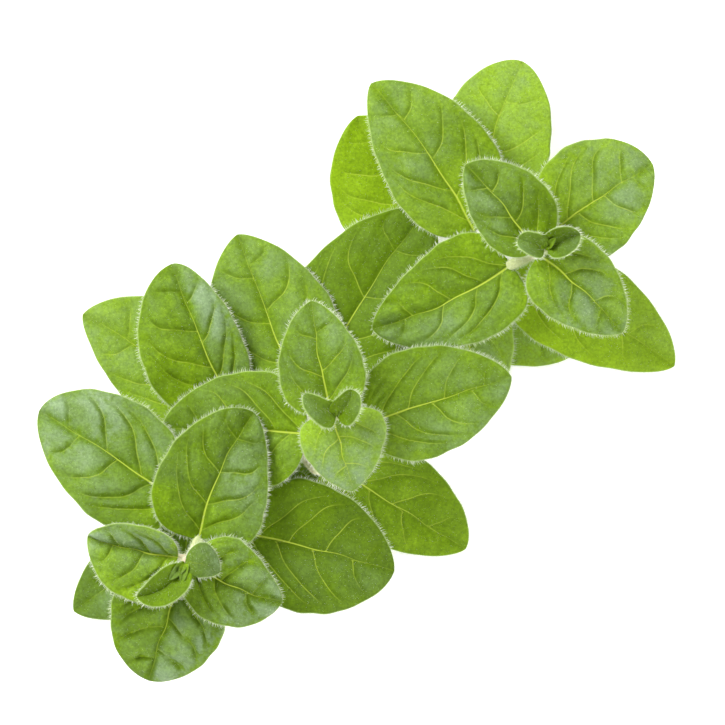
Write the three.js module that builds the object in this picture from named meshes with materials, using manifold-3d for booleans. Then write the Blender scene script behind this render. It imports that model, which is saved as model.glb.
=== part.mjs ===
// A small bundle of three marjoram sprigs lying on a table.
//
// Units are millimetres and +Z is up. The table top is z = 0, and the origin lies on it under
// the middle of the bundle. +X and +Y are the long diagonal's right and upper side as the
// bundle is seen from above, which is the way it is meant to be looked at.
//
// Each sprig is one grown piece: a square stem that lies down at its cut end and rises to the
// growing tip, with leaves in opposite pairs, each pair turned across the next. A leaf is a
// thin blade on a short stalk, folded a little along its midrib, arched along its length,
// with a gently waved edge. The sprigs lean into one another, so leaves of one lie over and
// under leaves of the next without touching.

import * as THREE from "three";
import Module from "manifold-3d";

const wasm = await Module();
wasm.setup();

// General sizes
const BLADE_THICKNESS = 0.6;
const LEAST_HALF_WIDTH = 0.35; // of a blade's two ends, so that neither is a knife point
const BLADE_ROWS = 9; // along a full-sized blade
const BLADE_COLUMNS = 4; // across it
const SMALL_BLADE_WIDTH = 8; // narrower blades get fewer rows
const SMALL_BLADE_ROWS = 6;
const WAVE_HEIGHT = 0.3;
const WAVES_PER_BLADE = 1.6;
const WAVE_STEP = 0.37; // of a turn, between leaves and between the halves of one leaf
const DEFAULT_FOLD = 8; // degrees that each half rises from the midrib
const DEFAULT_CURL = -8; // degrees that it bends back down by its edge
const LEAST_CURL = 1e-6; // radians per millimetre, so that a flat half is no special case
const DEFAULT_ENDS = [0.42, 0.7]; // fullness of the outline at the stalk and at the tip

const STALK_SIDES = 5;
const STALK_ROOT_RADIUS = 0.75;
const STALK_END_RADIUS = 0.5;
const STALK_RINGS = 4;
const STALK_INTO_BLADE = 3; // length that runs on under the midrib
const LONGEST_STALK = 0.5; // part of a leaf's whole line, which keeps it off a tiny leaf's tip
const STALK_DROP = 0.2; // its axis below the blade's middle face

const STEM_BASE_WIDTH = 2.2; // across the flats of the square, at the cut end
const STEM_TIP_WIDTH = 1.3;
const STEM_CORNER_CUT = 0.3; // part of the half width taken off each corner
const STEM_RINGS_PER_SPAN = 3;
const NODE_SWELL = 0.25; // extra half width where a pair of leaves stands

const LEAF_GREEN = "#7aa23a";

// The three sprigs.
//
// stem: the curve's points from the cut end to the growing tip. The first two are the cut
// end and a point further in, and the others are the nodes, counted back from the tip: the
// last point is node 0 and the third is node 5.
//
// leaves: the node that a leaf stands at, then where its tip is. wide is the blade's full
// width and stalk is the length of its stalk. arch is how far the middle of the midrib is
// lifted from the straight line to the tip, and bow how far it is shifted to the left of it.
// roll turns the blade about its midrib, left side up. fold and curl bend the two halves,
// skew makes the left half wider than the right, and lean slants the blade's cross lines,
// the left half towards the tip. Angles are in degrees.
const SPRIGS = [
  {
    name: "sprig_left",
    liesOnTable: true,
    stem: [
      [-15.7, -9.7, 1.1], [-18.7, -12.5, 1.1], [-20.7, -14.8, 2.6], [-22.5, -19.6, 8],
      [-24.5, -25.1, 14.5], [-25.8, -27.4, 19.5], [-27, -30, 24], [-27.7, -30.6, 27],
    ],
    leaves: [
      // Two tiny leaves round the growing tip, one cupped and one hooded
      { node: 0, tip: [-35.5, -36.1, 25.5], wide: 6.6, stalk: 0.6, arch: 1.5, bow: 1.4, fold: 38,
        curl: -10, wave: 0 },
      { node: 0, tip: [-22.2, -32.2, 26], wide: 6.2, stalk: 0.1, arch: 1.6, bow: 0.6, roll: -10,
        fold: 10, curl: -40, skew: 0.25, wave: 0 },
      // The next pairs, from the top down
      { node: 1, tip: [-43.7, -26.6, 21.5], wide: 15, stalk: 2, arch: 1, bow: 0.5, roll: -24,
        fold: 30, curl: -10, skew: 0.1 },
      { node: 1, tip: [-12.1, -37.1, 19.5], wide: 14, stalk: 0.4, arch: 1.8, bow: -1.2,
        skew: 0.04, lean: -0.12 },
      { node: 2, tip: [-16.7, -6.5, 18], wide: 19, stalk: 0.2, arch: 1.5, bow: 1.3, fold: 10,
        ends: [0.28, 0.6], lean: 0.1 },
      { node: 2, tip: [-34.6, -50.6, 12], wide: 19, stalk: 5, arch: 2, bow: -0.5, curl: -6,
        ends: [0.42, 0.6] },
      { node: 3, tip: [-52.3, -5.8, 9.5], wide: 20, stalk: 6, arch: 1.8, bow: -0.8, roll: 8,
        fold: 10, ends: [0.42, 0.6], skew: 0.04, lean: -0.2 },
      { node: 3, tip: [6.2, -32.6, 10], wide: 21.6, stalk: 6.5, arch: 2, bow: 0.6, curl: -6,
        ends: [0.42, 0.66], lean: -0.12 },
      { node: 4, tip: [-47, -39.6, 1.5], wide: 15.5, stalk: 6, arch: 1.5, bow: 0.6, curl: -10,
        skew: 0.1 },
      { node: 4, tip: [-3, -17.2, 5.2], wide: 10, stalk: 3, arch: -0.5, curl: -10 },
      { node: 5, tip: [-45.6, 9.7, 0.45], wide: 18.8, stalk: 9, arch: 1, bow: -3.2, skew: -0.11 },
      { node: 5, tip: [-3.6, -31.1, 0.4], wide: 14, stalk: 4, arch: 0 },
    ],
  },
  {
    name: "sprig_middle",
    liesOnTable: false,
    stem: [
      [-27.3, -10.1, 4.9], [-23, -10.1, 5.1], [-18.5, -10.4, 5.7], [-10, -11, 8.8],
      [-5, -14.6, 13.5], [-5.3, -10.2, 19], [-4.1, -6.2, 25], [-3.2, -6.9, 28],
    ],
    leaves: [
      { node: 0, tip: [-8.3, -3.3, 28.7], wide: 4.7, stalk: 0.1, arch: 1.2, bow: 0.3, fold: 26,
        curl: 0, skew: 0.2, wave: 0 },
      { node: 0, tip: [-0.8, -2.7, 28.7], wide: 5.2, stalk: 0.1, arch: 1.2, bow: -0.6, fold: 26,
        curl: 0, skew: -0.2, wave: 0 },
      { node: 1, tip: [-7.2, 11.7, 26], wide: 14, stalk: 0.2, arch: 1.2, bow: 0.4,
        ends: [0.34, 0.68] },
      { node: 1, tip: [-0.5, -19.1, 22.5], wide: 14.4, stalk: 0.3, arch: 1.6,
        ends: [0.3, 0.72], skew: 0.12 },
      { node: 2, tip: [-32.1, -9.2, 9.6], wide: 19.4, stalk: 3, arch: 0.9, bow: -0.5,
        curl: -10, ends: [0.38, 0.7] },
      { node: 2, tip: [25.4, -0.6, 14.5], wide: 18.3, stalk: 7, arch: 1.5, skew: 0.04 },
      { node: 3, tip: [18.2, -29.3, 0.5], wide: 17.4, stalk: 0.5, arch: 0.5, ends: [0.36, 0.66],
        skew: 0.06, lean: 0.2 },
      { node: 3, tip: [-19.3, 23.1, 3], wide: 21.8, stalk: 11, arch: -0.8, bow: 0.2 },
      { node: 4, tip: [11.8, 27.1, 4.2], wide: 24.4, stalk: 10, arch: -0.8, bow: 2, roll: -8,
        fold: 6, curl: -6, skew: -0.09 },
      { node: 4, tip: [-14.5, -32.5, 5], wide: 12, stalk: 5, arch: 1.8 },
      { node: 5, tip: [-30.5, 18, 8.5], wide: 17, stalk: 5, arch: 3.2, bow: 0.4, roll: -2,
        fold: 12, curl: -16, skew: 0.24 },
      { node: 5, tip: [-7.4, -34.4, 2.4], wide: 12, stalk: 5, arch: -0.6 },
    ],
  },
  {
    name: "sprig_right",
    liesOnTable: true,
    stem: [
      [6.1, 11.8, 1.1], [10.2, 15.3, 1.1], [13.9, 18.1, 2.6], [18.1, 19, 8],
      [21.9, 17.9, 13], [25.4, 17.8, 18], [29.3, 19.5, 23], [30.5, 20.1, 26],
    ],
    leaves: [
      { node: 0, tip: [26.3, 21.8, 26], wide: 4.8, stalk: 0.3, arch: 1.5, fold: 30, curl: 10,
        wave: 0 },
      { node: 0, tip: [36.2, 22.6, 26], wide: 6.8, stalk: 0.3, arch: 0.3, fold: 34, curl: 20,
        wave: 0 },
      { node: 1, tip: [17.8, 33.9, 22], wide: 13.2, stalk: 0.5, arch: 1.5, bow: -0.5, fold: 10,
        skew: -0.12 },
      { node: 1, tip: [43.4, 6.7, 18.5], wide: 14, stalk: 0.4, arch: 1.5, bow: 0.6, fold: 10,
        ends: [0.32, 0.68] },
      { node: 2, tip: [48.8, 34.6, 14], wide: 18.8, stalk: 7.5, arch: 1.5, bow: 0.7,
        ends: [0.42, 0.62], skew: 0.06, lean: 0.12 },
      { node: 2, tip: [2.7, 7.3, 11.2], wide: 17.5, stalk: 0.1, arch: 1.5, bow: 1.2,
        ends: [0.26, 0.66], skew: -0.05 },
      { node: 3, tip: [2.4, 47.7, 10], wide: 18.6, stalk: 6, arch: 1.8, bow: -1.5,
        skew: -0.07 },
      { node: 3, tip: [52.7, 1.2, 4], wide: 17.2, stalk: 3, arch: 2, bow: 1.1 },
      { node: 4, tip: [27.6, 51.6, 5], wide: 19, stalk: 8, arch: 1.5, bow: 1.5, skew: -0.05 },
      { node: 4, tip: [20.9, -7.8, 2.2], wide: 13.4, stalk: 5, arch: -1.4, bow: -0.9, skew: 0.12 },
      { node: 5, tip: [0.1, 42.8, 0.4], wide: 20.5, stalk: 6, arch: -0.2, bow: 0.8, fold: 3,
        curl: 0 },
      { node: 5, tip: [37.2, 4, 0.4], wide: 16.5, stalk: 4, arch: 0.5, bow: -1.2 },
    ],
  },
];

const UP = new THREE.Vector3(0, 0, 1);
const radians = THREE.MathUtils.degToRad;

// The midrib of a leaf, from the middle of the stem to the leaf's tip.
function midribCurve(leaf, root) {
  const tip = new THREE.Vector3(...leaf.tip);
  const heading = tip.clone().sub(root).setZ(0).normalize();
  const left = new THREE.Vector3(-heading.y, heading.x, 0);
  const bend = root.clone().add(tip).multiplyScalar(0.5);
  bend.addScaledVector(UP, 2 * leaf.arch).addScaledVector(left, 2 * (leaf.bow ?? 0));
  return { curve: new THREE.QuadraticBezierCurve3(root, bend, tip), left };
}

// The blade's half width at t, from 0 at the stalk to 1 at the tip.
function halfWidth(leaf, t) {
  const [atStalk, atTip] = leaf.ends ?? DEFAULT_ENDS;
  const widest = atStalk / (atStalk + atTip);
  const full = (x) => x ** atStalk * (1 - x) ** atTip;
  return Math.max(LEAST_HALF_WIDTH, (leaf.wide / 2) * (full(t) / full(widest)));
}

// The point of the blade's middle face at t along it and s across it, from -1 at the right
// edge to 1 at the left edge, with the direction in which the blade is thick there.
function bladePoint(leaf, midrib, start, turn, t, s) {
  const u = start + (1 - start) * t;
  const along = midrib.curve.getTangent(u);
  const side = midrib.left.clone().addScaledVector(along, -along.dot(midrib.left)).normalize();
  const normal = along.clone().cross(side);
  const roll = radians(leaf.roll ?? 0);
  const across = side.clone().multiplyScalar(Math.cos(roll)).addScaledVector(normal, Math.sin(roll));
  const rolled = normal.multiplyScalar(Math.cos(roll)).addScaledVector(side, -Math.sin(roll));
  const slanted = across.clone().addScaledVector(along, leaf.lean ?? 0);

  const hand = Math.sign(s);
  const reach = Math.abs(s) * halfWidth(leaf, t) * (1 + hand * (leaf.skew ?? 0));
  const fold = radians(leaf.fold ?? DEFAULT_FOLD);
  const perLength = radians(leaf.curl ?? DEFAULT_CURL) / (leaf.wide / 2) || LEAST_CURL;
  const slope = fold + perLength * reach;
  const out = (Math.sin(slope) - Math.sin(fold)) / perLength;
  const rise = (Math.cos(fold) - Math.cos(slope)) / perLength;
  const phase = WAVES_PER_BLADE * t + turn + (hand > 0 ? WAVE_STEP : 0);
  const wave = (leaf.wave ?? WAVE_HEIGHT) * s * s * Math.sin(Math.PI * t);
  const lift = rise + wave * Math.sin(2 * Math.PI * phase);

  const point = midrib.curve.getPoint(u);
  point.addScaledVector(slanted, hand * out).addScaledVector(rolled, lift);
  const thick = rolled.clone().multiplyScalar(Math.cos(slope));
  thick.addScaledVector(across, -hand * Math.sin(slope)).normalize();
  return { point, thick };
}

// A closed solid from points in rows and columns, each given twice: above and below.
function slab(above, below) {
  const rows = above.length;
  const columns = above[0].length;
  const vertices = [...above.flat(), ...below.flat()].flatMap((p) => [p.x, p.y, p.z]);
  const triangles = [];
  const top = (i, j) => i * columns + j;
  const bottom = (i, j) => rows * columns + i * columns + j;
  for (let i = 0; i + 1 < rows; i++) {
    for (let j = 0; j + 1 < columns; j++) {
      triangles.push(top(i, j), top(i + 1, j + 1), top(i, j + 1));
      triangles.push(top(i, j), top(i + 1, j), top(i + 1, j + 1));
      triangles.push(bottom(i, j), bottom(i, j + 1), bottom(i + 1, j + 1));
      triangles.push(bottom(i, j), bottom(i + 1, j + 1), bottom(i + 1, j));
    }
  }
  const rim = [];
  for (let j = 0; j + 1 < columns; j++) rim.push([0, j]);
  for (let i = 0; i + 1 < rows; i++) rim.push([i, columns - 1]);
  for (let j = columns - 1; j > 0; j--) rim.push([rows - 1, j]);
  for (let i = rows - 1; i > 0; i--) rim.push([i, 0]);
  rim.forEach((here, k) => {
    const next = rim[(k + 1) % rim.length];
    triangles.push(top(...here), top(...next), bottom(...next));
    triangles.push(top(...here), bottom(...next), bottom(...here));
  });
  return solid(vertices, triangles);
}

// A closed solid from rings of equally many points, with flat ends.
function loft(rings) {
  const sides = rings[0].length;
  const vertices = rings.flat().flatMap((p) => [p.x, p.y, p.z]);
  const triangles = [];
  for (let i = 0; i + 1 < rings.length; i++) {
    for (let j = 0; j < sides; j++) {
      const a = i * sides + j;
      const b = i * sides + ((j + 1) % sides);
      triangles.push(a, b, b + sides, a, b + sides, a + sides);
    }
  }
  const last = (rings.length - 1) * sides;
  for (let j = 1; j + 1 < sides; j++) {
    triangles.push(0, j + 1, j, last, last + j, last + j + 1);
  }
  return solid(vertices, triangles);
}

function solid(vertices, triangles) {
  const mesh = new wasm.Mesh({
    numProp: 3,
    vertProperties: new Float32Array(vertices),
    triVerts: new Uint32Array(triangles),
  });
  return new wasm.Manifold(mesh);
}

function bladeSolid(leaf, midrib, turn) {
  const small = leaf.wide < SMALL_BLADE_WIDTH;
  const rows = small ? SMALL_BLADE_ROWS : BLADE_ROWS;
  const start = leaf.stalk / midrib.curve.getLength();
  const above = [];
  const below = [];
  for (let i = 0; i <= rows; i++) {
    const t = (1 - Math.cos((Math.PI * i) / rows)) / 2;
    const line = [];
    for (let j = 0; j <= BLADE_COLUMNS; j++) {
      line.push(bladePoint(leaf, midrib, start, turn, t, (2 * j) / BLADE_COLUMNS - 1));
    }
    const shifted = (by) => line.map((p) => p.point.clone().addScaledVector(p.thick, by));
    above.push(shifted(BLADE_THICKNESS / 2));
    below.push(shifted(-BLADE_THICKNESS / 2));
  }
  return slab(above, below);
}

// A leaf's stalk, from inside the stem to a little way along the underside of the midrib.
function stalkSolid(leaf, midrib) {
  const length = midrib.curve.getLength();
  const end = Math.min(LONGEST_STALK, (leaf.stalk + STALK_INTO_BLADE) / length);
  const rings = [];
  for (let i = 0; i <= STALK_RINGS; i++) {
    const u = (end * i) / STALK_RINGS;
    const along = midrib.curve.getTangent(u);
    const normal = along.clone().cross(midrib.left).normalize();
    const side = normal.clone().cross(along);
    const radius = THREE.MathUtils.lerp(STALK_ROOT_RADIUS, STALK_END_RADIUS, i / STALK_RINGS);
    const middle = midrib.curve.getPoint(u).addScaledVector(normal, -STALK_DROP);
    rings.push(ring(middle, side, normal, STALK_SIDES, radius));
  }
  return loft(rings);
}

// Points round a middle, counter-clockwise as seen against the direction side x normal.
function ring(middle, side, normal, sides, radius) {
  return Array.from({ length: sides }, (_, k) => {
    const angle = (2 * Math.PI * (k + 0.5)) / sides;
    const point = middle.clone().addScaledVector(side, radius * Math.cos(angle));
    return point.addScaledVector(normal, radius * Math.sin(angle));
  });
}

// The square stem. Where it lies on the table, its first stretch is level and has its flat
// underside at z = 0.
function stemSolid(points, liesOnTable) {
  const curve = new THREE.CatmullRomCurve3(points, false, "centripetal");
  const spans = points.length - 1;
  const count = spans * STEM_RINGS_PER_SPAN;
  const rings = [];
  const side = new THREE.Vector3();
  const normal = UP.clone();
  for (let i = 0; i <= count; i++) {
    const u = i / count;
    const middle = curve.getPoint(u);
    const along = curve.getTangent(u);
    const atNode = i % STEM_RINGS_PER_SPAN === 0 && i >= 2 * STEM_RINGS_PER_SPAN;
    const swell = atNode ? NODE_SWELL : 0;
    const half = THREE.MathUtils.lerp(STEM_BASE_WIDTH, STEM_TIP_WIDTH, u) / 2 + swell;
    if (liesOnTable && i <= STEM_RINGS_PER_SPAN) {
      middle.z = half;
      along.setZ(0).normalize();
    }
    side.crossVectors(normal, along).normalize();
    normal.crossVectors(along, side);
    rings.push(squareRing(middle, side, normal, half));
  }
  return loft(rings);
}

// A square with its corners cut off.
function squareRing(middle, side, normal, half) {
  const flat = half * (1 - STEM_CORNER_CUT);
  const corners = [
    [half, -flat], [half, flat], [flat, half], [-flat, half],
    [-half, flat], [-half, -flat], [-flat, -half], [flat, -half],
  ];
  return corners.map(([x, y]) => middle.clone().addScaledVector(side, x).addScaledVector(normal, y));
}

function sprigMesh(sprig, first) {
  const points = sprig.stem.map((p) => new THREE.Vector3(...p));
  let body = stemSolid(points, sprig.liesOnTable);
  sprig.leaves.forEach((leaf, k) => {
    const root = points[points.length - 1 - leaf.node];
    const midrib = midribCurve(leaf, root);
    const turn = ((first + k) * WAVE_STEP) % 1;
    body = body.add(stalkSolid(leaf, midrib)).add(bladeSolid(leaf, midrib, turn));
  });
  const joined = body.getMesh();
  const geometry = new THREE.BufferGeometry();
  geometry.setAttribute("position", new THREE.BufferAttribute(joined.vertProperties, 3));
  geometry.setIndex(new THREE.BufferAttribute(joined.triVerts, 1));
  geometry.computeVertexNormals();
  const material = new THREE.MeshStandardMaterial({ color: LEAF_GREEN, roughness: 0.6 });
  const mesh = new THREE.Mesh(geometry, material);
  mesh.name = sprig.name;
  return mesh;
}

const group = new THREE.Group();
let leavesBefore = 0;
for (const sprig of SPRIGS) {
  group.add(sprigMesh(sprig, leavesBefore));
  leavesBefore += sprig.leaves.length;
}

export default group;
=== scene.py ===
# %% [markdown]
# # A small bunch of fresh marjoram
#
# Three cut sprigs lie on a table and lean into one another. The solids of the sprigs are
# loaded first. Every blade, stalk and stem is then made again, finer, in the same place, and
# gets what a solid can't hold: veins, quilting, hairs and colour.
#
# Lengths of the plant are written in millimetres, as on a ruler, and turned into Blender's
# metres where a mesh is made.

import math

import bpy
import numpy as np
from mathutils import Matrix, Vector
from mathutils.noise import noise as noise_at


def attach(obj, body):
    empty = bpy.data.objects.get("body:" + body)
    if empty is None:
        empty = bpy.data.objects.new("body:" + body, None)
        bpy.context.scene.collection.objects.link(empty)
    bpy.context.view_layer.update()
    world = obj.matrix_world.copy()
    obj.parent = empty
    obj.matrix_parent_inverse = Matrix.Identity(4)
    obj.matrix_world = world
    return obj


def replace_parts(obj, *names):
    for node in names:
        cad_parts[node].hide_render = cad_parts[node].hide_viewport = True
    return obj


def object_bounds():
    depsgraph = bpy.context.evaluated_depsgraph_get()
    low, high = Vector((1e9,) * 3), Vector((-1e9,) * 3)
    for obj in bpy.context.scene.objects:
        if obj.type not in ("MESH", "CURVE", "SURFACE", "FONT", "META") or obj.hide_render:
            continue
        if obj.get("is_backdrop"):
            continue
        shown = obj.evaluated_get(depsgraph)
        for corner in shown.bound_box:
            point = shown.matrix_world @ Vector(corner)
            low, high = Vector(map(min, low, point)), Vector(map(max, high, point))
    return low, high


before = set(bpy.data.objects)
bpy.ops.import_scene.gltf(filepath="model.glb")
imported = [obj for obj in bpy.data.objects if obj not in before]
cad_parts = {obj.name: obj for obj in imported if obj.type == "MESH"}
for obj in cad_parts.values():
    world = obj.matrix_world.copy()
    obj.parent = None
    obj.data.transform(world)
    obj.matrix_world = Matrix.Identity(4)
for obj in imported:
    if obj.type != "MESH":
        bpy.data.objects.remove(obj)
solid_box = [list(corner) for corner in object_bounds()]
MM = 0.001
print("solids:", sorted(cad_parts), "box", solid_box)

# %% [markdown]
# ## The camera
#
# The bunch is meant to be seen from straight above. A long lens held 900 mm over the table
# keeps the picture nearly flat: a leaf 30 mm up looks only 3% larger than one on the table.
# The view is 120.8 mm wide at the table.

# %% Camera
scene = bpy.context.scene
CAMERA_PLACE = (1.0, 1.75, 900.0)
VIEW_WIDTH = 120.83
SENSOR_WIDTH = 36.0

lens = bpy.data.cameras.new("overhead_lens")
lens.sensor_fit = "HORIZONTAL"
lens.sensor_width = SENSOR_WIDTH
lens.lens = SENSOR_WIDTH * CAMERA_PLACE[2] / VIEW_WIDTH
lens.clip_start = 0.01
camera = bpy.data.objects.new("overhead_camera", lens)
camera.location = [MM * c for c in CAMERA_PLACE]
scene.collection.objects.link(camera)
scene.camera = camera
print(f"lens {lens.lens:.1f} mm")

# %% [markdown]
# ## Table and light
#
# Cut herbs are photographed on white, under light so soft that they cast almost no shadow.
# The whole sky is therefore white, and a lamp at the upper left gives the quilted leaves
# their modelling and a soft gloss. A weaker and larger one, low at the lower right, reaches
# the leaves that lie deep in the bunch. The table is a plain sheet of white acrylic that
# glows a little, as a light table does: it stays white under the leaves' edges, and some of
# its light comes through the thinnest blades.

# %% Helpers for materials
def new_node(tree, kind, **settings):
    """A new node, with its properties set."""
    made = tree.nodes.new(kind)
    for name, value in settings.items():
        setattr(made, name, value)
    return made


def plug(tree, socket, value):
    """Joins an output to a socket, or writes a plain value in it."""
    if isinstance(value, bpy.types.NodeSocket):
        tree.links.new(value, socket)
    else:
        socket.default_value = value


def wired(tree, kind, inputs, **settings):
    """A new node, with its properties and its named inputs set."""
    made = new_node(tree, kind, **settings)
    for name, value in inputs.items():
        plug(tree, made.inputs[name], value)
    return made


def calc(tree, operation, a, b=0.0, c=0.0):
    """One step of arithmetic."""
    step = new_node(tree, "ShaderNodeMath", operation=operation)
    for socket, value in zip(step.inputs, (a, b, c)):
        plug(tree, socket, value)
    return step.outputs[0]


def product(tree, first, *others):
    """Numbers multiplied with one another."""
    for other in others:
        first = calc(tree, "MULTIPLY", first, other)
    return first


def scaled(tree, value, factor, plus):
    """A number times a factor, with something added."""
    return calc(tree, "MULTIPLY_ADD", value, factor, plus)


def ramp(tree, value, low, high, to_low=0.0, to_high=1.0):
    """A smooth step of a value from one range to another."""
    step = new_node(tree, "ShaderNodeMapRange", interpolation_type="SMOOTHSTEP")
    for socket, v in zip(step.inputs, (value, low, high, to_low, to_high)):
        plug(tree, socket, v)
    return step.outputs[0]


# %% Helpers for colours and shaders
def blend_colours(tree, amount, first, second, kind="MIX"):
    """Two colours mixed by an amount."""
    step = new_node(tree, "ShaderNodeMix", data_type="RGBA", blend_type=kind)
    plug(tree, step.inputs["Factor"], amount)
    plug(tree, step.inputs[6], first)
    plug(tree, step.inputs[7], second)
    return step.outputs[2]


def principled(tree, settings):
    """A Principled shader, with the named inputs set."""
    return wired(tree, "ShaderNodeBsdfPrincipled", settings).outputs[0]


def new_material(name):
    """An empty node material, as (material, its tree, the socket for its surface)."""
    material = bpy.data.materials.new(name)
    material.use_nodes = True
    tree = material.node_tree
    tree.nodes.clear()
    return material, tree, new_node(tree, "ShaderNodeOutputMaterial").inputs["Surface"]

# %% Table
WHITE = (1.0, 1.0, 1.0, 1.0)
TABLE_WHITE = (0.88, 0.88, 0.88, 1.0)
TABLE_GLOW = 0.5
TABLE_SIDE = 3.0

scene.view_settings.view_transform = "Standard"
acrylic, tree, surface = new_material("white_acrylic")
plug(tree, surface, principled(tree, {
    "Base Color": TABLE_WHITE, "Roughness": 0.9, "Specular IOR Level": 0.0,
    "Emission Color": WHITE, "Emission Strength": TABLE_GLOW}))

bpy.ops.mesh.primitive_plane_add(size=TABLE_SIDE)
table_top = bpy.context.object
table_top.name = "table_top"
table_top.data.materials.append(acrylic)
table_top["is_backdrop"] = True
print("table", TABLE_SIDE, "m wide")

# %% Sky and lamps
SKY_LIGHT = 0.68

sky = bpy.data.worlds.new("soft_white")
sky.use_nodes = True
sky.node_tree.nodes["Background"].inputs["Color"].default_value = WHITE
sky.node_tree.nodes["Background"].inputs["Strength"].default_value = SKY_LIGHT
scene.world = sky


def soft_lamp(name, place, size, power):
    """A square lamp that looks at the middle of the table."""
    lamp = bpy.data.lights.new(name, "AREA")
    lamp.shape = "SQUARE"
    lamp.size = size
    lamp.energy = power
    holder = bpy.data.objects.new(name, lamp)
    holder.location = place
    aim = -holder.location.normalized()
    holder.rotation_euler = aim.to_track_quat("-Z", "Y").to_euler()
    scene.collection.objects.link(holder)
    print(name, "at", place, "power", power)


soft_lamp("key_lamp", (-0.42, 0.36, 0.5), 0.4, 7.5)
soft_lamp("fill_lamp", (0.5, -0.45, 0.32), 0.6, 4.0)

# %% [markdown]
# ## Where every leaf is
#
# Marjoram carries its leaves in opposite pairs, each pair turned across the next. A sprig is
# written as the points of its stem, from the cut end to the growing tip, and a row for each
# leaf. Nodes are counted back from the tip.
#
# A row gives the node, the place of the leaf's tip, the blade's width, the stalk's length and
# how high the midrib arches. Four numbers follow for its looks: how bright and yellow it is
# (from -1 to 1), how much grey of hair bloom and painted sheen lies on it, how strongly it is
# quilted, and how many side veins each half has. A few leaves that lie deep in the bunch are
# given a higher tone as painted light, to lift the shade that falls on them.
#
# The named ones set a leaf apart from the rest. In millimetres, bow is how far the midrib
# arches to its left and wave how far the edge goes up and down. Roll, fold and curl are
# degrees: the turn about the midrib, the rise of both halves and their bend on the way to the
# edge. A smaller number in ends makes the outline blunter, at the stalk or at the tip. Skew
# is how much wider the left half is, and lean how far both halves are pushed towards the tip.
# Felt is how many short hairs stand on it, and lit how much more grey the left half has than
# the right, a painted sheen as if the light fell on that half.
#
# The very next pair, still folded in the heart of each tip, is too small for the solids and
# is listed apart.

# %% The design table
def leaf(node, tip, wide, stalk, arch, tone, bloom, quilt, veins, bow=0, roll=0, fold=8,
         curl=-8, ends=(0.42, 0.7), skew=0, lean=0, wave=0.3, felt=0.3, lit=0):
    """One leaf's row as a dictionary."""
    return dict(locals())


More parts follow.
